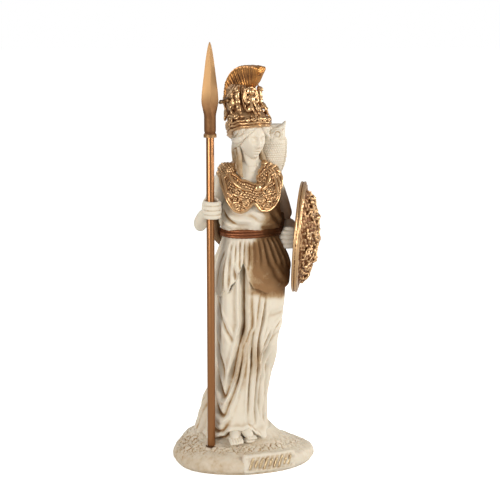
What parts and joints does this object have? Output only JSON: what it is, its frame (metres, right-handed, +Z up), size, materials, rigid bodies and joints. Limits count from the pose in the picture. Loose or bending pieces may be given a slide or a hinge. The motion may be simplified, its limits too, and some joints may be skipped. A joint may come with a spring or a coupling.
{
  "type": "athena statue",
  "caption": "Cream resin-stone statuette of a robed, helmeted goddess with an owl, a metal spear and a gilt round shield, on its own rock plinth.",
  "frame": {"origin": "centre of the plinth's flat underside", "axes": "+Z up, -Y to the figure's front and +X to the figure's left, the shield side, with the spear at -X"},
  "size_m": [0.0926, 0.071, 0.2529],
  "materials": {
    "cream_resin": "matte cream cast resin stone with a brown antique wash in the folds",
    "gold_paint": "satin gold paint rubbed dark brown in the hollows",
    "bronze_rod": "polished bronze-brown metal rod"
  },
  "bodies": {
    "root": {"figure": "cream_resin", "spear_shaft": "bronze_rod", "spear_head": "gold_paint", "shield": "gold_paint"}
  },
  "joints": []
}
